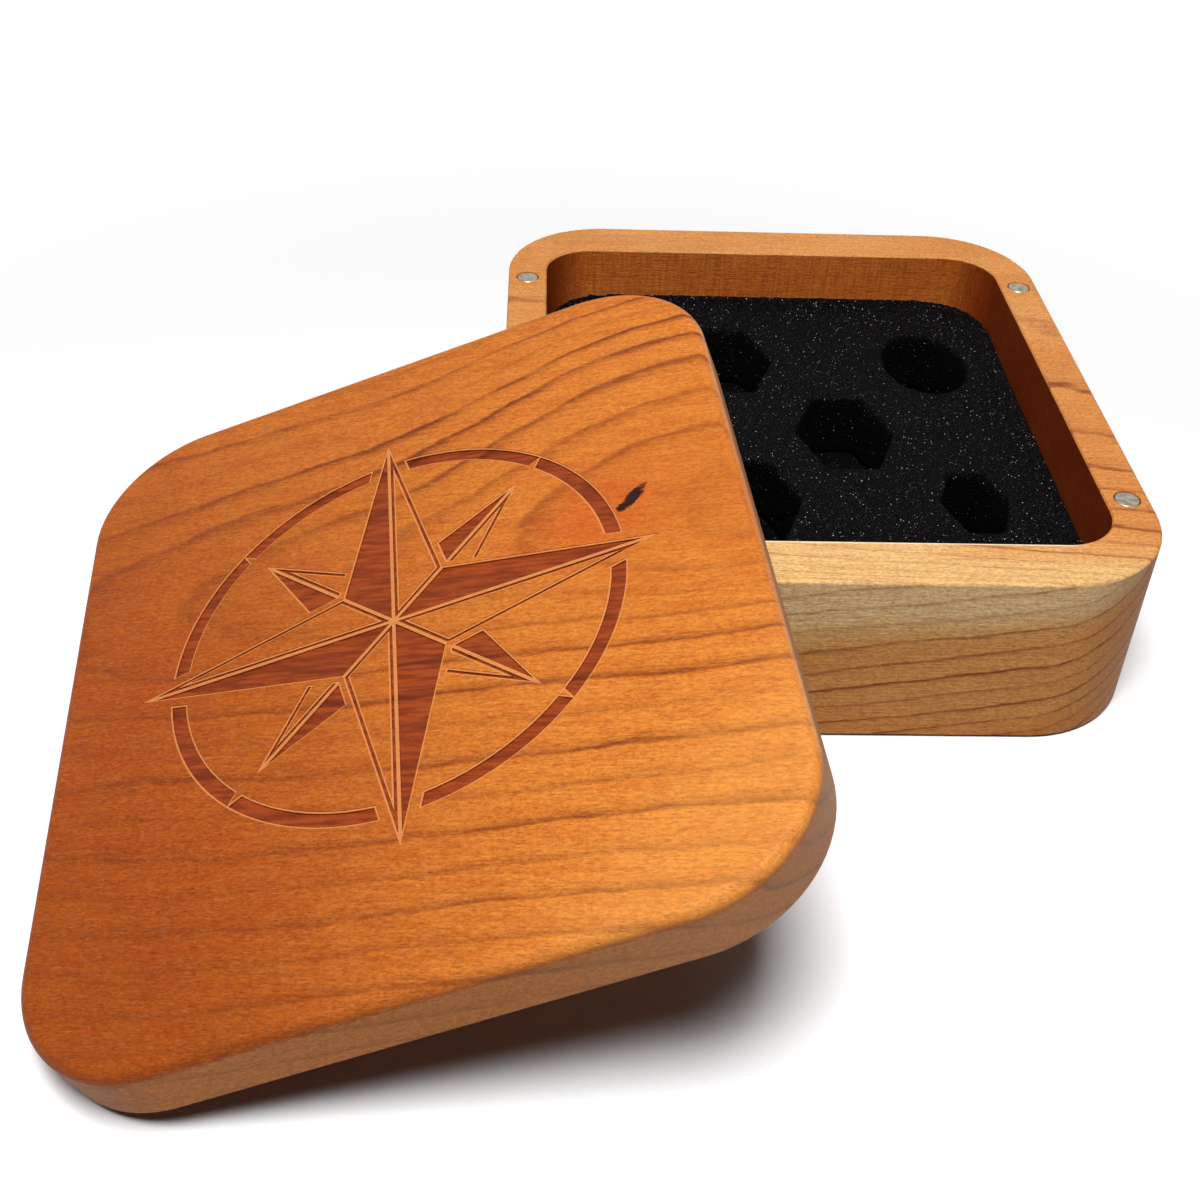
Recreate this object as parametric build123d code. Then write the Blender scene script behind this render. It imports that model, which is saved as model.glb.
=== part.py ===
"""A milled hardwood dice chest with its magnetic lid taken off and leaned on one corner.

Frame: millimetres, +Z up.  The origin is the centre of the chest's underside, on the table.
+X runs to the right along the chest's front, and +Y runs from the front to the back.
The lid is drawn flat, as it lies when it closes the chest, and is then set at its lean.
"""
import os
from math import cos, radians, sin, sqrt

from build123d import *

# ---- Chest body: one block of cherry, milled out from above ----
box_width = 120.0            # left to right
box_depth = 138.0            # front to back
box_height = 35.5            # underside to rim
corner_radius = 22.0         # plan radius of the four outer corners
side_wall = 8.5              # left and right rails
end_wall = 12.0              # front and back rails
pocket_corner_radius = 10.5  # plan radius left by the milling cutter
floor_thickness = 5.5        # wood left under the pocket
rim_ease = 0.6               # sanded round of the rim's outer edge
mouth_ease = 0.3             # lighter softening of the pocket's mouth
underside_ease = 0.6         # bevel round the underside of the chest and of the lid

# ---- Foam: a die-cut insert on a plain pad ----
pad_thickness = 3.0
insert_thickness = 14.2
foam_clearance = 0.3         # gap from the foam's edge to the pocket wall

# ---- Die pockets in the insert: four staggered columns ----
column_inset = 17.5          # outer columns, from the insert's side edge to their centre line
back_row_inset = 27.0        # from the insert's back edge to the back row's centres
front_row_inset = 31.3       # from the insert's front edge to the front row's centres
inner_pair_offset = 13.5     # the left column's two pockets, each side of the middle line
large_hexagon = (20.8, 27.5)     # width along X, length along Y
round_pocket = (18.5, 26.0)
small_hexagon = (13.8, 20.5)
square_pocket = (14.5, 19.0)
triangle_pocket = (16.5, 20.0)

# ---- Disc magnets: four in the rim and four in the lid ----
magnet_diameter = 5.0
magnet_thickness = 3.0
magnet_chamfer = 0.3
magnet_radial_gap = 0.05     # glue gap round each magnet
magnet_sink = 0.1            # how far a magnet's face lies below the wood
magnet_end_inset = 26.5      # from the front or back face to a magnet's centre

# ---- Lid: a plate with the same outline as the chest ----
lid_thickness = 11.0
lid_roundover = 2.0          # rounded upper edge

# ---- Engraving: an eight-pointed star and a ring, burnt into the lid's top ----
engraving_depth = 0.45
outline_depth = 0.15         # shallow scorched ledge round each cut
outline_width = 0.3
long_reach = 45.0            # from the star's centre to a long tip
short_reach = 33.0
long_waist = 12.5            # from the centre to the notch beside a long point
short_waist = 10.5
frame_line = 1.1             # line round the half points that are left as plain wood
ring_radius = 38.0
ring_width = 3.0
ring_gap = 1.5               # plain wood between the ring and the star

# ---- How the lid leans: one corner on the table, its underside on the chest's rim ----
lean_angle = 22.14           # slope of the lid
lean_heading = 20.2          # direction in which the lid rises, turned from +X towards +Y
lean_turn = 4.4              # the lid's own turn from square with the chest
lean_sideways = -51.2        # lid centre from the chest's centre, across the slope
lean_gap = 0.1               # from the chest's rim to the lid's underside

# ---- Sizes that follow ----
pocket_width = box_width - 2 * side_wall
pocket_depth = box_depth - 2 * end_wall
foam_width = pocket_width - 2 * foam_clearance
foam_depth = pocket_depth - 2 * foam_clearance
foam_corner_radius = pocket_corner_radius - foam_clearance
insert_base = floor_thickness + pad_thickness
magnet_x = box_width / 2 - side_wall / 2
magnet_y = box_depth / 2 - magnet_end_inset
bore_radius = magnet_diameter / 2 + magnet_radial_gap
bore_depth = magnet_thickness + magnet_sink

corners = {
    "back_left": (-magnet_x, magnet_y),
    "back_right": (magnet_x, magnet_y),
    "front_left": (-magnet_x, -magnet_y),
    "front_right": (magnet_x, -magnet_y),
}


def outline(width, depth, radius):
    """A rounded rectangle centred on the origin."""
    return RectangleRounded(width, depth, radius)


def edges_at(solid, height):
    """The edges of a solid that lie in the level plane at a height."""
    return solid.edges().filter_by_position(Axis.Z, height - 0.001, height + 0.001)


def chest_body():
    """The block, its pocket and the four blind bores in its rails."""
    block = extrude(outline(box_width, box_depth, corner_radius), box_height)
    block = fillet(edges_at(block, box_height), rim_ease)
    block = chamfer(edges_at(block, 0), underside_ease)
    cutter = extrude(outline(pocket_width, pocket_depth, pocket_corner_radius), box_height)
    block -= Pos(0, 0, floor_thickness) * cutter
    mouth = [edge for edge in edges_at(block, box_height) if inside_pocket(edge.center())]
    block = chamfer(mouth, mouth_ease)
    for x, y in corners.values():
        block -= Pos(x, y, box_height - bore_depth) * bore()
    return block


def inside_pocket(point):
    """Whether a point of the rim lies on the pocket's mouth and not on the outer edge."""
    reach_x = pocket_width / 2 + mouth_ease
    reach_y = pocket_depth / 2 + mouth_ease
    return abs(point.X) < reach_x and abs(point.Y) < reach_y


def bore():
    """A magnet's blind bore, standing on its floor."""
    return extrude(Circle(bore_radius), bore_depth)


def magnet():
    """A disc magnet, standing on its back face."""
    disc = extrude(Circle(magnet_diameter / 2), magnet_thickness)
    return chamfer(disc.edges().filter_by(GeomType.CIRCLE), magnet_chamfer)


def hexagon(width, length):
    """A hexagon with a point to the left and to the right."""
    half, quarter, end = width / 2, width / 4, length / 2
    return Polygon((half, 0), (quarter, end), (-quarter, end),
                   (-half, 0), (-quarter, -end), (quarter, -end), align=None)


def triangle(width, length):
    """A triangle with its point to the back."""
    return Polygon((-width / 2, -length / 2), (width / 2, -length / 2), (0, length / 2), align=None)


def die_pockets():
    """The plan of the seven pockets, one for each die of a set."""
    outer = foam_width / 2 - column_inset
    inner = outer / 3
    back = foam_depth / 2 - back_row_inset
    front = front_row_inset - foam_depth / 2
    plan = Pos(outer, back) * Ellipse(round_pocket[0] / 2, round_pocket[1] / 2)
    plan += Pos(outer, front) * hexagon(*small_hexagon)
    plan += Pos(inner, 0) * hexagon(*large_hexagon)
    plan += Pos(-inner, back) * hexagon(*large_hexagon)
    plan += Pos(-inner, front) * hexagon(*large_hexagon)
    plan += Pos(-outer, inner_pair_offset) * Rectangle(*square_pocket)
    plan += Pos(-outer, -inner_pair_offset) * triangle(*triangle_pocket)
    return plan


def foam_insert():
    """The upper foam sheet, cut right through for the dice."""
    sheet = outline(foam_width, foam_depth, foam_corner_radius) - die_pockets()
    return Pos(0, 0, insert_base) * extrude(sheet, insert_thickness)


def foam_pad():
    """The plain foam sheet under the insert, the floor of every die pocket."""
    sheet = outline(foam_width, foam_depth, foam_corner_radius)
    return Pos(0, 0, floor_thickness) * extrude(sheet, pad_thickness)


def star_point(reach, waist, heading):
    """The dark half and the plain half of one kite-shaped point, as two triangles."""
    notch = waist / sqrt(2)
    dark = Polygon((0, 0), (reach, 0), (notch, notch), align=None)
    plain = Polygon((0, 0), (notch, -notch), (reach, 0), align=None)
    return Rot(0, 0, heading) * dark, Rot(0, 0, heading) * plain


def resized(face, amount):
    """A flat outline moved outwards, or inwards if negative, with its corners kept sharp."""
    return offset(face, amount=amount, kind=Kind.INTERSECTION) if amount else face


def frame(face, inset):
    """A line along the inside of a flat outline, drawn in by an inset on both its edges."""
    return resized(face, -inset) - resized(face, inset - frame_line)


def engraving(inset):
    """All that is burnt into the lid, as a flat plan drawn in by an inset at every edge."""
    quarters = [0, 90, 180, 270]
    long_halves = [star_point(long_reach, long_waist, turn) for turn in quarters]
    short_halves = [star_point(short_reach, short_waist, turn + 45) for turn in quarters]
    long_star = Sketch() + [half for pair in long_halves for half in pair]
    whole_star = long_star + [half for pair in short_halves for half in pair]
    plan = Circle(ring_radius + ring_width / 2 - inset)
    plan -= Circle(ring_radius - ring_width / 2 + inset)
    plan -= resized(whole_star, ring_gap + inset)
    beside_long_star = resized(long_star, ring_gap / 2 + inset)
    for dark, plain in short_halves:
        plan += resized(dark, -inset) - beside_long_star
        plan += frame(plain, inset) - beside_long_star
    for dark, plain in long_halves:
        plan += [resized(dark, -inset), frame(plain, inset)]
    return plan


def lid_plate():
    """The lid lying flat, underside on z = 0, engraved and bored for its magnets."""
    plate = extrude(outline(box_width, box_depth, corner_radius), lid_thickness)
    plate = fillet(edges_at(plate, lid_thickness), lid_roundover)
    plate = chamfer(edges_at(plate, 0), underside_ease)
    plate -= Pos(0, 0, lid_thickness - outline_depth) * extrude(engraving(0), outline_depth)
    burn = extrude(engraving(outline_width), engraving_depth)
    plate -= Pos(0, 0, lid_thickness - engraving_depth) * burn
    for x, y in corners.values():
        plate -= Pos(x, y, 0) * bore()
    return plate


def reach_along(heading):
    """How far the chest's outline reaches from its centre in a level direction."""
    across = (box_width / 2 - corner_radius) * abs(cos(radians(heading)))
    along = (box_depth / 2 - corner_radius) * abs(sin(radians(heading)))
    return across + along + corner_radius


def lid_lean():
    """Where the leaning lid lies: its low corner on the table, its underside on the rim.

    The low corner bears on the inner edge of its bevel.  The rim's contact is found from the
    centre of its round.
    """
    slope = radians(lean_angle)
    low_edge = reach_along(lean_heading - lean_turn) - underside_ease
    centre_height = low_edge * sin(slope)
    rim_round = rim_ease - reach_along(lean_heading)
    drop = (box_height - rim_ease - centre_height) * cos(slope)
    uphill = rim_round - (rim_ease + lean_gap + drop) / sin(slope)
    heading = radians(lean_heading)
    x = uphill * cos(heading) - lean_sideways * sin(heading)
    y = uphill * sin(heading) + lean_sideways * cos(heading)
    tilt = Rot(0, 0, lean_heading) * Rot(0, -lean_angle, 0) * Rot(0, 0, lean_turn - lean_heading)
    return Pos(x, y, centre_height) * tilt


lean = lid_lean()
nodes = {
    "chest_body": chest_body(),
    "foam_pad": foam_pad(),
    "foam_insert": foam_insert(),
    "lid": lean * lid_plate(),
}
for corner, (x, y) in corners.items():
    nodes[f"rim_magnet_{corner}"] = Pos(x, y, box_height - bore_depth) * magnet()
    nodes[f"lid_magnet_{corner}"] = lean * Pos(x, y, magnet_sink) * magnet()

os.makedirs("parts", exist_ok=True)
for name, solid in nodes.items():
    solid.label = name
    export_step(solid, f"parts/{name}.step")
print(f"lid centre at {lean.position.X:.2f}, {lean.position.Y:.2f}, {lean.position.Z:.2f}")
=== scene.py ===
from math import hypot, radians

import bpy
from mathutils import Matrix, Vector


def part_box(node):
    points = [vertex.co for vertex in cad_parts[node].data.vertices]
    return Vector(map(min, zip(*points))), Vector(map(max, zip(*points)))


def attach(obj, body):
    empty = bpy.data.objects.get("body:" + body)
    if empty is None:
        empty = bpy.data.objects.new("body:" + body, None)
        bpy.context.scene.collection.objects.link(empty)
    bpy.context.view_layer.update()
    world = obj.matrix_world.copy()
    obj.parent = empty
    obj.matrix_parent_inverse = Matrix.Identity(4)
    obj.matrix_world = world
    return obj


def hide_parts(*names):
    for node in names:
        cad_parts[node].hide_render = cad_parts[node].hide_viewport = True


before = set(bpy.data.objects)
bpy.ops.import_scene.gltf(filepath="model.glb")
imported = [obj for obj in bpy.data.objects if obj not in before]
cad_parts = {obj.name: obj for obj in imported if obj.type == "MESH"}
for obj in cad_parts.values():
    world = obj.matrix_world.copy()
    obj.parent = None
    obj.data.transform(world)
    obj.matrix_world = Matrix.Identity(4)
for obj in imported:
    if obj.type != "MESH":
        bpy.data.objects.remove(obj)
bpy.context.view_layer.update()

# ---- Chest body ----
# One block of cherry, milled out from above, sanded and oiled.  The grain runs from left to
# right.  The bark side of the board is the upper front edge, so the front rail is pale sapwood.


class Signal:
    """A number, colour or vector that varies over a surface: a shader node's output socket."""

    def __init__(self, finish, socket):
        self.finish = finish
        self.socket = socket

    def __add__(self, other):
        return self.finish.maths("ADD", self, other)

    def __sub__(self, other):
        return self.finish.maths("SUBTRACT", self, other)

    def __rsub__(self, other):
        return self.finish.maths("SUBTRACT", other, self)

    def __mul__(self, other):
        return self.finish.maths("MULTIPLY", self, other)

    def __truediv__(self, other):
        return self.finish.maths("DIVIDE", self, other)

    def __pow__(self, other):
        return self.finish.maths("POWER", self, other)

    def __abs__(self):
        return self.finish.maths("ABSOLUTE", self)

    __radd__ = __add__
    __rmul__ = __mul__


class Finish:
    """A procedural finish while its nodes are being made."""

    def __init__(self, name, kept_in=bpy.data.materials):
        self.made = kept_in.new(name)
        self.made.use_nodes = True
        self.nodes = self.made.node_tree.nodes
        self.links = self.made.node_tree.links
        self.nodes.clear()

    def node(self, kind, settings=None, sockets=None, output=0):
        """Adds a node: its settings first, then the values or links of its sockets."""
        new = self.nodes.new(kind)
        for setting, value in (settings or {}).items():
            if setting == "steps":
                new.color_ramp.interpolation = "CONSTANT"
                stops = new.color_ramp.elements
                while len(stops) < len(value):
                    stops.new(1.0)
                for number, (stop, level) in enumerate(zip(stops, value)):
                    stop.position, stop.color = number / len(value), (level, level, level, 1)
            else:
                setattr(new, setting, value)
        for name, value in (sockets or {}).items():
            if isinstance(value, Signal):
                self.links.new(value.socket, new.inputs[name])
            else:
                new.inputs[name].default_value = value
        return Signal(self, new.outputs[output])

    def outputs(self, signal):
        """Every output, by name, of the node that a signal comes from."""
        return {socket.name: Signal(self, socket) for socket in signal.socket.node.outputs}

    def maths(self, operation, *values):
        return self.node("ShaderNodeMath", {"operation": operation}, dict(enumerate(values)))

    def vectors(self, operation, *values):
        return self.node("ShaderNodeVectorMath", {"operation": operation}, dict(enumerate(values)))

    def here(self):
        """The place on the object, in metres."""
        return self.node("ShaderNodeTexCoord", None, None, output=3)

    def ease(self, value, start, end):
        """Rises smoothly from 0 at start to 1 at end, and falls if end is the lower."""
        low, high, first, last = (start, end, 0, 1) if start < end else (end, start, 1, 0)
        spans = {"Value": value, "From Min": low, "From Max": high, "To Min": first, "To Max": last}
        return self.node("ShaderNodeMapRange", {"interpolation_type": "SMOOTHSTEP"}, spans)

    def mix(self, share, first, second, blend="MIX"):
        """Goes from the first colour to the second as share goes from 0 to 1."""
        settings = {"data_type": "RGBA", "blend_type": blend}
        return self.node("ShaderNodeMix", settings, {0: share, 6: first, 7: second}, output=2)

    def noise(self, place, scale=1.0, detail=2.0, roughness=0.5):
        """Soft random values round 0.5."""
        sockets = {"Vector": place, "Scale": scale, "Detail": detail, "Roughness": roughness}
        return self.node("ShaderNodeTexNoise", None, sockets)

    def surface(self, base, roughness, height, depth, **constants):
        """Ends a material: its colour, its roughness and a relief of a depth in metres."""
        relief = self.node("ShaderNodeBump", None, {"Height": height, "Distance": depth})
        sockets = {"Base Color": base, "Roughness": roughness, "Normal": relief, **constants}
        return self.end_with(self.node("ShaderNodeBsdfPrincipled", None, sockets))

    def end_with(self, shader, kind="ShaderNodeOutputMaterial"):
        end = self.nodes.new(kind)
        self.links.new(shader.socket, end.inputs["Surface"])
        return self.made


def shade(red, green, blue):
    """A colour as a screen shows it, 0 to 255, in the linear values that a shader takes."""
    parts = [c / 255 for c in (red, green, blue)]
    return tuple(p / 12.92 if p <= 0.04045 else ((p + 0.055) / 1.055) ** 2.4 for p in parts) + (1,)


def dress(object_, finish):
    """Gives an object one finish in place of any other."""
    object_.data.materials.clear()
    object_.data.materials.append(finish)


class Cherry(Finish):
    """Oiled cherry, drawn in millimetres of the board it was cut from, with x along the board.

    The fibres run at fibre_turn radians to the board, clockwise as seen from above.
    """

    def __init__(self, name, centre=(0, 0, 0), turn=(0, 0, 0), fibre_turn=0.0):
        super().__init__(name)
        board = {"Vector": self.here(), "Location": centre, "Rotation": turn, "Scale": (0.001,) * 3}
        self.place = self.node("ShaderNodeMapping", {"vector_type": "TEXTURE"}, board)
        split = self.node("ShaderNodeSeparateXYZ", None, {0: self.place})
        self.x, self.y, self.z = self.outputs(split).values()
        spin = {"Vector": self.place, "Angle": fibre_turn}
        self.along_fibres = self.node("ShaderNodeVectorRotate", {"rotation_type": "Z_AXIS"}, spin)

    def stretched(self, x, y, z):
        return self.vectors("MULTIPLY", self.place, (x, y, z))

    def combed(self, x, y, z):
        return self.vectors("MULTIPLY", self.along_fibres, (x, y, z))

    def drift(self, size):
        """Slow changes over a length in millimetres."""
        return self.noise(self.stretched(0.35 / size, 1 / size, 1 / size), 1.0, 2.0, 0.5)

    def shiver(self):
        """Small waves in the growth lines, round 0."""
        return self.noise(self.stretched(0.1, 0.25, 0.25), 1.0, 2.0, 0.5) - 0.5

    def fibres(self):
        """Fine streaks along the grain."""
        return self.noise(self.combed(0.11, 2.3, 2.3), 1.0, 4.0, 0.62)

    def flecks(self):
        """Short dark pores and ray flecks."""
        grain = self.noise(self.combed(0.62, 4.2, 4.2), 1.0, 2.0, 0.55)
        return self.ease(grain, 0.53, 0.72)

    def latewood(self, count, years, crisp, sharp=0.9):
        """How dark each year's late growth is, from a running count of the rings.

        years says how marked each year is, from 0 to 1, and starts over at its end.  crisp is
        the share of a fine dark line in it; the rest is the smoky band before that line.
        """
        ragged = count + (self.fibres() - 0.5) * 0.16
        season = self.maths("FRACT", ragged)
        turn = self.maths("FRACT", self.maths("FLOOR", ragged) / len(years) + 0.5 / len(years))
        marked = self.node("ShaderNodeValToRGB", {"steps": years}, {0: turn})
        swell = self.ease(season, 0.3, sharp) ** 3.0
        core = self.ease(season, sharp - 0.13, sharp - 0.02)
        worn = self.noise(self.stretched(0.05, 0.5, 0.5), 1.0, 3.0, 0.6)
        fading = self.ease(worn, 0.25, 0.6) * 0.6 + 0.4
        line = (swell * (1 - crisp) + core * crisp) * self.ease(season, 1.0, sharp)
        return line * fading * marked

    def grained(self, base, late, latewood):
        """A tone with its latewood, fibres, rays and flecks drawn into it."""
        base = self.mix(latewood, base, late)
        streaks = self.ease(self.fibres(), 0.3, 0.7)
        base = self.mix(streaks * 0.22, base, shade(120, 62, 28), "MULTIPLY")
        rays = self.ease(self.noise(self.combed(0.9, 3.4, 3.4), 1.0, 3.0, 0.6), 0.45, 0.8)
        base = self.mix(rays * 0.1, base, shade(255, 208, 150), "SCREEN")
        base = self.mix(self.flecks() * 0.3, base, shade(150, 84, 44), "MULTIPLY")
        pebbled = self.ease(self.noise(self.combed(1.3, 2.4, 2.4), 1.0, 4.0, 0.75), 0.4, 0.62)
        return self.mix(pebbled * 0.42, base, shade(176, 116, 72), "MULTIPLY")

    def sanded(self, colour, latewood, roughness):
        """Ends the wood with the relief of its grain under a thin film of oil."""
        relief = self.fibres() * 0.6 + latewood * 0.25 - self.flecks() * 0.4
        dullness = self.ease(self.fibres(), 1.1, 0.1) * 0.2 + roughness
        return self.surface(colour, dullness, relief, 0.00012, **{"Specular IOR Level": 0.12})


chest_wood = Cherry("cherry_chest")
x, y, z = chest_wood.x, chest_wood.y, chest_wood.z
half_depth, rim = 69, 35.5          # from the chest's centre to its front, and up to its rim
pocket_x, pocket_y = 51.5, 57       # from the centre to the pocket's side and end walls
year = 4.2                          # millimetres from one growth line to the next
from_front = y + half_depth
slope = 0.155 - 0.001 * from_front  # the lines rise to the right on the front face
dip = 51 * (1 - chest_wood.maths("EXPONENT", from_front / -60))
wander = (chest_wood.drift(42) - 0.5) * 8 + chest_wood.shiver() * 1.6
towards_bark = z - x * slope - dip + wander

# on the rim the growth lines crowd together towards the front edge
on_rim = chest_wood.ease(z, rim - 1.2, rim - 0.3)
crowding = 14 * (1 - chest_wood.maths("EXPONENT", from_front / -6)) * on_rim
years = (0.9, 0.5, 1.0, 0.7, 0.85, 0.6, 0.95)
rings = chest_wood.latewood((towards_bark - crowding) / year, years, crisp=0.7)
rings = rings * (1 - chest_wood.ease(from_front, 60, 130) * 0.6)

# the sapwood is palest under the front edge, and a tongue of heartwood reaches into the front rail
sapwood = chest_wood.ease(towards_bark + x * 0.03, 18, 27)
heart_tongue = chest_wood.ease(x, 12, 26) * chest_wood.ease(y + wander * 0.5, -63.5, -60.5)
sapwood = sapwood * (1 - heart_tongue * 0.5)
heart = chest_wood.mix(chest_wood.ease(chest_wood.drift(24), 0.35, 0.65),
                       shade(228, 150, 76), shade(238, 168, 95))
below_rim = chest_wood.ease(z, rim - 0.2, rim - 0.6)
under_edge = chest_wood.ease(z, 22, 32) * below_rim
sap = chest_wood.mix(under_edge, shade(248, 204, 135), shade(255, 220, 165))
early = chest_wood.mix(sapwood, heart, sap)
late = chest_wood.mix(sapwood, shade(150, 72, 30), shade(196, 134, 72))

# the pocket's walls show the cutter's upright strokes and are painted darker, as painted shade in the
# recess; end grain holds more oil, and painted shade deepens it on the pocket's end walls
in_pocket = (chest_wood.ease(abs(x), pocket_x + 0.2, pocket_x)
             * chest_wood.ease(abs(y), pocket_y + 0.2, pocket_y) * below_rim)
rings = rings * (1 - sapwood * 0.3) * (1 - in_pocket * 0.6)
chest_colour = chest_wood.grained(early, late, rings)
end_grain = (chest_wood.ease(abs(x), 40, 51) * in_pocket
             + chest_wood.ease(abs(x), 40, 59) * (1 - in_pocket)) * below_rim
strokes = chest_wood.noise(chest_wood.stretched(1.9, 1.9, 0.13), 1.0, 3.0, 0.6)
milled = in_pocket * chest_wood.ease(strokes, 0.35, 0.7)
# painted shade: the pocket's walls darkened and reddened as a recess
chest_colour = chest_wood.mix(in_pocket, chest_colour, shade(248, 208, 160), "MULTIPLY")
# end grain darker, with painted shade added on the pocket's end walls
chest_colour = chest_wood.mix(end_grain * (in_pocket * 0.5 + 0.3), chest_colour,
                              shade(170, 108, 78), "MULTIPLY")
chest_colour = chest_wood.mix(milled * 0.35, chest_colour, shade(150, 90, 50), "MULTIPLY")

# a painted highlight runs along the edge of the front rail's mouth, and painted shade darkens the
# bevel underneath
from_mouth = y + pocket_y
mouth_highlight = (chest_wood.ease(from_mouth, -0.8, -0.4) * chest_wood.ease(from_mouth, 0, -0.2)
               * chest_wood.ease(x, 45, 40) * on_rim)
chest_colour = chest_wood.mix(mouth_highlight * 0.75, chest_colour, shade(255, 240, 214))
# painted contact shadow on the bevel underneath
chest_colour = chest_wood.mix(chest_wood.ease(z, 0.8, 0.3) * 0.7, chest_colour, shade(70, 26, 12))
dress(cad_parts["chest_body"], chest_wood.sanded(chest_colour, rings, 0.4))

# ---- Lid ----
# A plate of redder cherry with the chest's outline, rounded over on top and engraved with a
# compass star, whose floor is scorched dark.  A small dark knot lies beside the star.
magnets_at = {}
for corner in ("back_left", "back_right", "front_left", "front_right"):
    low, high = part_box(f"lid_magnet_{corner}")
    magnets_at[corner] = (low + high) / 2
lid_x = (magnets_at["back_right"] - magnets_at["back_left"]).normalized()
lid_y = (magnets_at["back_left"] - magnets_at["front_left"]).normalized()
lid_z = lid_x.cross(lid_y)
lid_turn = Matrix((lid_x, lid_y, lid_z)).transposed().to_euler()
magnet_middle = 0.0016              # from the lid's underside to the middle of its magnets
lid_base = sum(magnets_at.values(), Vector()) / 4 - lid_z * magnet_middle
lid_wood = Cherry("cherry_lid", lid_base, lid_turn, fibre_turn=0.32)
x, y, z = lid_wood.x, lid_wood.y, lid_wood.z
knot_x, knot_y = 41.8, 10.0
top = 11                            # the lid's thickness


def hump(value, middle, width):
    """A soft hump, 1 at its middle, that dies away over a width on each side."""
    share = (value - middle) / width
    return lid_wood.maths("EXPONENT", share * share * -1)


# the growth lines run level at the front, fan out round the knot and climb behind it
leftwards = 59 - x
spread = hump(x, knot_x, 22) * hump(y, knot_y, 12) * 0.5 + 1
climb = lid_wood.ease(x, -8, 52) * hump(y, 46, 28) * 17
drop = lid_wood.ease(x, 26, 56) * hump(y, -6, 12) * 7
from_pith = (y - climb + drop - leftwards * 0.2 - 2) / spread
pith_depth = 5 + leftwards * 0.2 + (top - z) * 3
radius = lid_wood.maths("SQRT", from_pith * from_pith + pith_depth * pith_depth)
wander = (lid_wood.drift(38) - 0.5) * 9 + lid_wood.shiver() * 1.7
year = 6                            # millimetres from one growth line to the next
years = (0.5, 0.3, 0.45, 0.35, 0.5, 0.8, 0.95, 0.3, 0.9, 0.4, 0.85, 0.45, 0.75, 0.5, 0.65, 0.5)
rings = lid_wood.latewood((radius + wander) / year + 0.9, years, crisp=0.35)
rings = rings * (0.6 + 0.4 * lid_wood.ease(lid_wood.drift(26), 0.35, 0.6))
smoky = hump(y, 36, 22) * lid_wood.ease(x, -25, 15)  # bolder lines behind the knot
rings = lid_wood.maths("MINIMUM", rings * (1 + smoky * 0.8), 1)

# the top is deep orange at the left and golden at the right; the sides are paler and duller
golden = x - x * y * 0.009 + lid_wood.ease(y, 25, 60) * 12 + (lid_wood.drift(30) - 0.5) * 30
golden = lid_wood.ease(golden, -60, 58)
early = lid_wood.mix(golden, shade(177, 84, 21), shade(232, 142, 54))
glow = hump(x, 36, 11.4) * hump(y, 9, 7.7)
early = lid_wood.mix(glow * 0.7, early, shade(226, 104, 38))
top_face = lid_wood.ease(z + (lid_wood.fibres() - 0.5) * 2.4, 8.5, 9.8)
early = lid_wood.mix(top_face, shade(236, 152, 80), early)
late = lid_wood.mix(top_face, shade(146, 84, 44), shade(138, 62, 18))
mottle = lid_wood.noise(lid_wood.combed(0.11, 0.42, 0.42), 1.0, 3.0, 0.6)
mottle = lid_wood.ease(mottle, 0.42, 0.66) * top_face
early = lid_wood.mix(mottle * 0.22, early, shade(216, 124, 70), "MULTIPLY")
lid_colour = lid_wood.grained(early, late, rings)
end_grain = lid_wood.ease(abs(x), 36, 58) * (1 - top_face)
lid_colour = lid_wood.mix(end_grain * 0.75, lid_colour, shade(186, 166, 172), "MULTIPLY")

# the sides pale to the right, the rounded edge is reddish, and a painted highlight runs along its
# right side
pale_end = lid_wood.ease(x, 5, 50) * (1 - top_face)
lid_colour = lid_wood.mix(pale_end * 0.24, lid_colour, shade(214, 184, 148))
fringe = top_face * (1 - top_face) * 4 * lid_wood.ease(x, 59, 57)
lid_colour = lid_wood.mix(fringe * 0.45, lid_colour, shade(168, 70, 20))
right_edge_highlight = lid_wood.ease(x, 59.3, 59.9) * lid_wood.ease(z, 8.2, 9.0)
lid_colour = lid_wood.mix(right_edge_highlight * 0.3, lid_colour, shade(248, 196, 150))
underside = lid_wood.ease(z, 0.6, 0.2)  # painted shade on the underside and its bottom bevel, darkening the shadow below
lid_colour = lid_wood.mix(underside * 0.75, lid_colour, shade(150, 78, 50), "MULTIPLY")

# painted light on the front-right corner, a duller middle and a darker front-left corner
painted_light_corner = lid_wood.ease(x - y, 72, 106) * top_face
lid_colour = lid_wood.mix(painted_light_corner * 0.2, lid_colour, shade(255, 186, 98))
duller_middle = hump(y, 5, 25) * lid_wood.ease(x, 20, 40) * top_face
lid_colour = lid_wood.mix(duller_middle * 0.3, lid_colour, shade(178, 84, 24))
darker_corner = lid_wood.ease(x + y, -60, -100) * top_face
lid_colour = lid_wood.mix(darker_corner * 0.18, lid_colour, shade(120, 60, 5))

# the knot: a ragged dark dash that runs up to the right
along = ((x - knot_x) * 0.73 + (y - knot_y) * 0.68) / 3.5
beside = ((y - knot_y) * 0.73 - (x - knot_x) * 0.68) / 1.2
ragged = (lid_wood.noise(lid_wood.stretched(0.7, 0.7, 0.7), 1.0, 3.0, 0.6) - 0.5) * 2.6
knot = lid_wood.ease(along * along + beside * beside + ragged, 1.35, 0.6)
lid_colour = lid_wood.mix(knot, lid_colour, shade(36, 6, 2))

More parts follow.
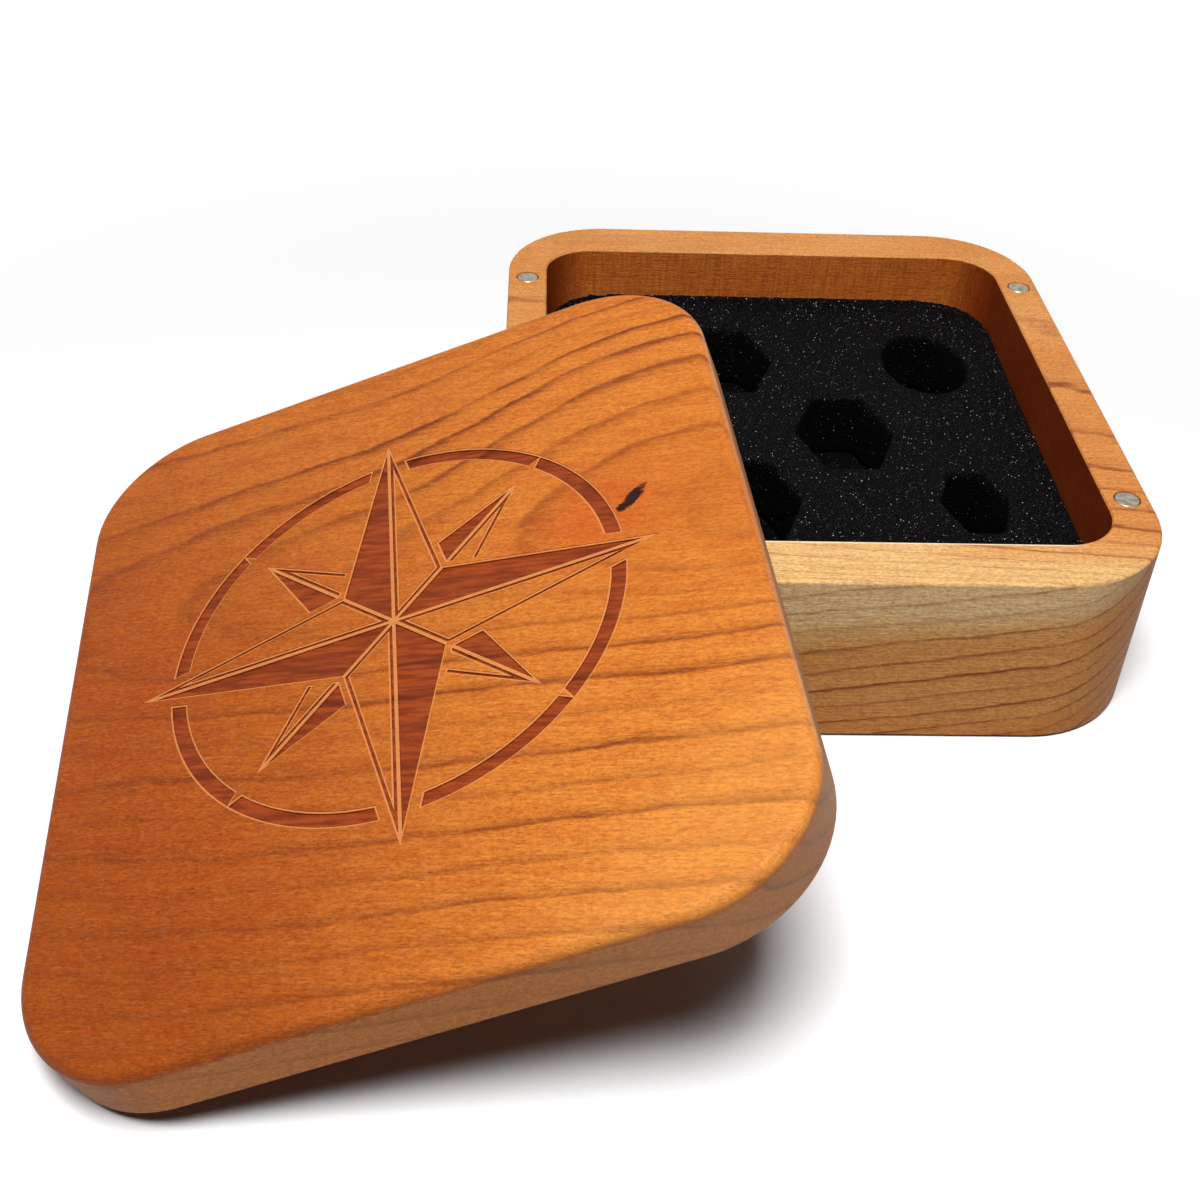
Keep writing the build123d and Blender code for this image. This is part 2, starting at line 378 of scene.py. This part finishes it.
# the engraving: a pale line at the edge of each cut and a dark, streaky floor
from_middle = lid_wood.maths("MAXIMUM", abs(x), abs(y))
engraved = lid_wood.maths("LESS_THAN", from_middle, 50) * lid_wood.maths("GREATER_THAN", z, top - 0.6)
edge_line = lid_wood.ease(z, top - 0.05, top - 0.1) * engraved
burnt = lid_wood.ease(z, top - 0.2, top - 0.3) * engraved
streaks = lid_wood.noise(lid_wood.combed(0.16, 1.3, 1.3), 1.0, 3.0, 0.6)
scorched = lid_wood.mix(lid_wood.ease(streaks, 0.35, 0.65), shade(120, 46, 16), shade(156, 68, 26))
scorched = lid_wood.mix(rings * 0.9, scorched, shade(84, 26, 10))
lid_colour = lid_wood.mix(edge_line * 0.7, lid_colour, shade(218, 144, 84))
lid_colour = lid_wood.mix(burnt, lid_colour, scorched)
dress(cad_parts["lid"], lid_wood.sanded(lid_colour, rings, 0.38))

# ---- Magnets ----
# Eight nickel-plated discs, glued flush into blind bores: four in the chest's rails and four in
# the lid's underside.
nickel = Finish("nickel")
cloud = nickel.noise(nickel.here(), 900, 3, 0.6)
scratch = nickel.noise(nickel.vectors("MULTIPLY", nickel.here(), (6000, 900, 900)), 1, 2, 0.6)
tone = nickel.mix(nickel.ease(cloud, 0.35, 0.7), shade(174, 167, 150), shade(130, 124, 110))
plated = nickel.surface(tone, cloud * 0.2 + 0.2, scratch * 0.5 + cloud, 0.00003, Metallic=1.0)
for name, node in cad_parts.items():
    if "magnet" in name:
        dress(node, plated)

# ---- Foam ----
# Two sheets of charcoal open-cell foam: a plain pad, and over it an insert die-cut with seven
# pockets for the dice.
foam = Finish("charcoal_foam")
here = foam.here()
cells = foam.node("ShaderNodeTexVoronoi", {"feature": "F1"}, {"Vector": here, "Scale": 1900.0})


def glints(scale, rarity):
    """Cut cell walls that catch the light, each a little point of its own brightness."""
    cell = foam.node("ShaderNodeTexVoronoi", {"feature": "F1"}, {"Vector": here, "Scale": scale})
    chance = foam.node("ShaderNodeSeparateColor", None, {0: foam.outputs(cell)["Color"]})
    return foam.ease(cell, 0.24, 0.1) * chance ** rarity


height = foam.outputs(foam.node("ShaderNodeSeparateXYZ", None, {0: here}))["Z"]
# painted shade: the pocket floors are painted near black, with fewer glints
pocket_floor_shade = foam.ease(height, 0.0222, 0.0205)
spark = foam.maths("MINIMUM", glints(2000.0, 14.0) * 1.7 + glints(3200.0, 5.0) * 0.3, 1.0)
dust = foam.ease(foam.noise(here, 2200, 4, 0.8), 0.46, 0.66)
grey = foam.mix(dust, shade(2, 2, 2), shade(28, 25, 29))
grey = foam.mix(pocket_floor_shade, grey, shade(4, 4, 4))
foam_colour = foam.mix(spark * (1 - pocket_floor_shade * 0.55), grey, shade(250, 250, 250))
foam_finish = foam.surface(foam_colour, 0.95, cells, 0.0004, **{"Specular IOR Level": 0.04})


def foam_sheet(name, low, high, corner_radius):
    """A cut sheet of foam with rounded corners in plan."""
    bpy.ops.object.select_all(action="DESELECT")
    bpy.ops.mesh.primitive_cube_add(size=1, location=(low + high) / 2)
    sheet = bpy.context.object
    sheet.name = name
    bpy.ops.transform.resize(value=high - low)
    bpy.ops.object.transform_apply(location=True, rotation=True, scale=True)
    bpy.ops.object.mode_set(mode="EDIT")
    bpy.ops.mesh.select_mode(type="EDGE")
    bpy.ops.mesh.select_all(action="DESELECT")
    bpy.ops.object.mode_set(mode="OBJECT")
    for edge in sheet.data.edges:
        foot, head = [sheet.data.vertices[v].co.z for v in edge.vertices]
        edge.select = abs(foot - head) > 0.001
    bpy.ops.object.mode_set(mode="EDIT")
    bpy.ops.mesh.bevel(offset=corner_radius, segments=10, affect="EDGES")
    bpy.ops.object.mode_set(mode="OBJECT")
    return sheet


def apply_all(piece):
    bpy.context.view_layer.objects.active = piece
    for modifier in list(piece.modifiers):
        bpy.ops.object.modifier_apply(modifier=modifier.name)


def punch_out(sheet, sides, turn, centre, width, length):
    """Cuts one pocket right through a sheet with a punch of a number of sides."""
    bpy.ops.object.select_all(action="DESELECT")
    bpy.ops.mesh.primitive_cylinder_add(vertices=sides, radius=0.5, depth=1,
                                        rotation=(0, 0, radians(turn)))
    punch = bpy.context.object
    bpy.ops.object.transform_apply(location=True, rotation=True, scale=True)
    size = punch.dimensions
    bpy.ops.transform.resize(value=(width / size.x, length / size.y, 0.04))
    bpy.ops.object.transform_apply(location=True, rotation=True, scale=True)
    middle = (Vector(punch.bound_box[0]) + Vector(punch.bound_box[6])) / 2
    bpy.ops.transform.translate(value=Vector(centre) - middle)
    bpy.ops.object.transform_apply(location=True, rotation=True, scale=True)
    cut = sheet.modifiers.new("punch", "BOOLEAN")
    cut.operation, cut.object = "DIFFERENCE", punch
    apply_all(sheet)
    bpy.data.objects.remove(punch)


def open_cells(sheet, voxel, swell):
    """Softens a sheet's cut edges and roughens its faces."""
    remesh = sheet.modifiers.new("cells", "REMESH")
    remesh.mode, remesh.voxel_size, remesh.use_smooth_shade = "VOXEL", voxel, True
    smooth = sheet.modifiers.new("soft_edges", "SMOOTH")
    smooth.factor, smooth.iterations = 0.5, 3
    lumps = bpy.data.textures.new(sheet.name + "_lumps", "CLOUDS")
    lumps.noise_scale = 0.0018
    rough = sheet.modifiers.new("lumps", "DISPLACE")
    rough.texture, rough.strength, rough.mid_level = lumps, swell, 0.6
    apply_all(sheet)


pad = foam_sheet("pad", *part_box("foam_pad"), 0.0102)
open_cells(pad, 0.0009, 0.0003)

low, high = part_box("foam_insert")
insert_corner = 0.014
insert = foam_sheet("insert", low, high, insert_corner)
middle_z = (low.z + high.z) / 2
left, inner_left, inner_right, right = -0.0337, -0.01123, 0.01123, 0.0337
back, front, pair = 0.0297, -0.0254, 0.0135
punch_out(insert, 32, 0, (right, back, middle_z), 0.0185, 0.026)
punch_out(insert, 6, 90, (right, front, middle_z), 0.0138, 0.0205)
punch_out(insert, 6, 90, (inner_right, 0, middle_z), 0.0208, 0.0275)
punch_out(insert, 6, 90, (inner_left, back, middle_z), 0.0208, 0.0275)
punch_out(insert, 6, 90, (inner_left, front, middle_z), 0.0208, 0.0275)
punch_out(insert, 4, 45, (left, pair, middle_z), 0.0145, 0.019)
punch_out(insert, 3, 0, (left, -pair, middle_z), 0.0165, 0.020)
open_cells(insert, 0.0007, 0.00035)

# the insert is pressed in, so its upper edge curls up against the walls, most of all at the back
curl_width = 0.006
for vertex in insert.data.vertices:
    past_x = abs(vertex.co.x) - (high.x - insert_corner)
    past_y = abs(vertex.co.y) - (high.y - insert_corner)
    outwards = hypot(past_x, past_y) if min(past_x, past_y) > 0 else max(past_x, past_y)
    near_edge = max(0, 1 - (insert_corner - outwards) / curl_width)
    near_top = max(0, (vertex.co.z - low.z) / (high.z - low.z))
    curl = 0.0006 + 0.0018 * max(0, vertex.co.y / high.y) ** 3
    vertex.co.z += curl * near_edge ** 2 * near_top ** 3

for piece, node in ((pad, "foam_pad"), (insert, "foam_insert")):
    dress(piece, foam_finish)
    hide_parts(node)
    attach(piece, "chest")

# ---- Studio ----
# A pale floor that runs out of sight into a white backdrop, a softbox overhead a little to the
# front, a wide weak one above it and a faint fill all round.


def seen_directly(finish):
    """1 for rays from the camera and for those that metal mirrors, and 0 for the rest."""
    rays = finish.outputs(finish.node("ShaderNodeLightPath"))
    mirrored = finish.maths("MAXIMUM", rays["Is Glossy Ray"], rays["Is Transmission Ray"])
    return finish.maths("MAXIMUM", rays["Is Camera Ray"], mirrored)


white = (1, 1, 1, 1)
floor_paint = Finish("floor")
from_object = floor_paint.vectors("SUBTRACT", floor_paint.here(), (-0.04, -0.04, 0))
distance = floor_paint.node("ShaderNodeVectorMath", {"operation": "LENGTH"}, {0: from_object},
                            output=1)
dull = floor_paint.node("ShaderNodeBsdfDiffuse", None, {"Color": (0.28, 0.28, 0.28, 1)})
pale = floor_paint.node("ShaderNodeBsdfDiffuse", None, {"Color": (0.49, 0.49, 0.49, 1)})
shaded = floor_paint.node("ShaderNodeAddShader", None, {0: pale, 1: pale})
backdrop = floor_paint.node("ShaderNodeEmission", None, {"Color": white, "Strength": 1.0})
fading = {0: floor_paint.ease(distance, 0.145, 0.245), 1: shaded, 2: backdrop}
seen = floor_paint.node("ShaderNodeMixShader", None, fading)
choice = {0: seen_directly(floor_paint), 1: dull, 2: seen}
bpy.ops.object.select_all(action="DESELECT")
bpy.ops.mesh.primitive_plane_add(size=12, location=(0, 0, -0.00002))
floor = bpy.context.object
bpy.ops.object.transform_apply(location=True, rotation=True, scale=True)
floor.name = "floor"
dress(floor, floor_paint.end_with(floor_paint.node("ShaderNodeMixShader", None, choice)))

air = Finish("studio_air", bpy.data.worlds)
fill = air.node("ShaderNodeBackground", None, {"Color": white, "Strength": 0.02})
backdrop = air.node("ShaderNodeBackground", None, {"Color": white, "Strength": 1.0})
choice = {0: seen_directly(air), 1: fill, 2: backdrop}
bpy.context.scene.world = air.end_with(air.node("ShaderNodeMixShader", None, choice),
                                       "ShaderNodeOutputWorld")


def softbox(name, place, side, watts):
    """A square lamp pointed at the chest."""
    lamp = bpy.data.lights.new(name, "AREA")
    lamp.shape, lamp.size, lamp.energy = "SQUARE", side, watts
    holder = bpy.data.objects.new(name, lamp)
    bpy.context.scene.collection.objects.link(holder)
    holder.location = place
    holder.rotation_euler = (-Vector(place)).to_track_quat("-Z", "Y").to_euler()


softbox("key", (-0.09, -0.37, 1.0), 0.4, 13.0)
softbox("overhead", (-0.1, 0.0, 1.1), 1.0, 0.6)

# ---- Camera ----
# It stands in front, a little to the left, and looks down at the chest.
bpy.context.scene.view_settings.view_transform = "Standard"
camera = bpy.data.objects.new("camera", bpy.data.cameras.new("camera"))
bpy.context.scene.collection.objects.link(camera)
camera.location = (-0.05281, -0.27763, 0.19451)
camera.rotation_euler = (radians(51.9256), radians(-2.0129), radians(-1.3799))
camera.data.lens = 46.742
camera.data.sensor_width = 36
camera.data.clip_start, camera.data.clip_end = 0.01, 50
bpy.context.scene.camera = camera
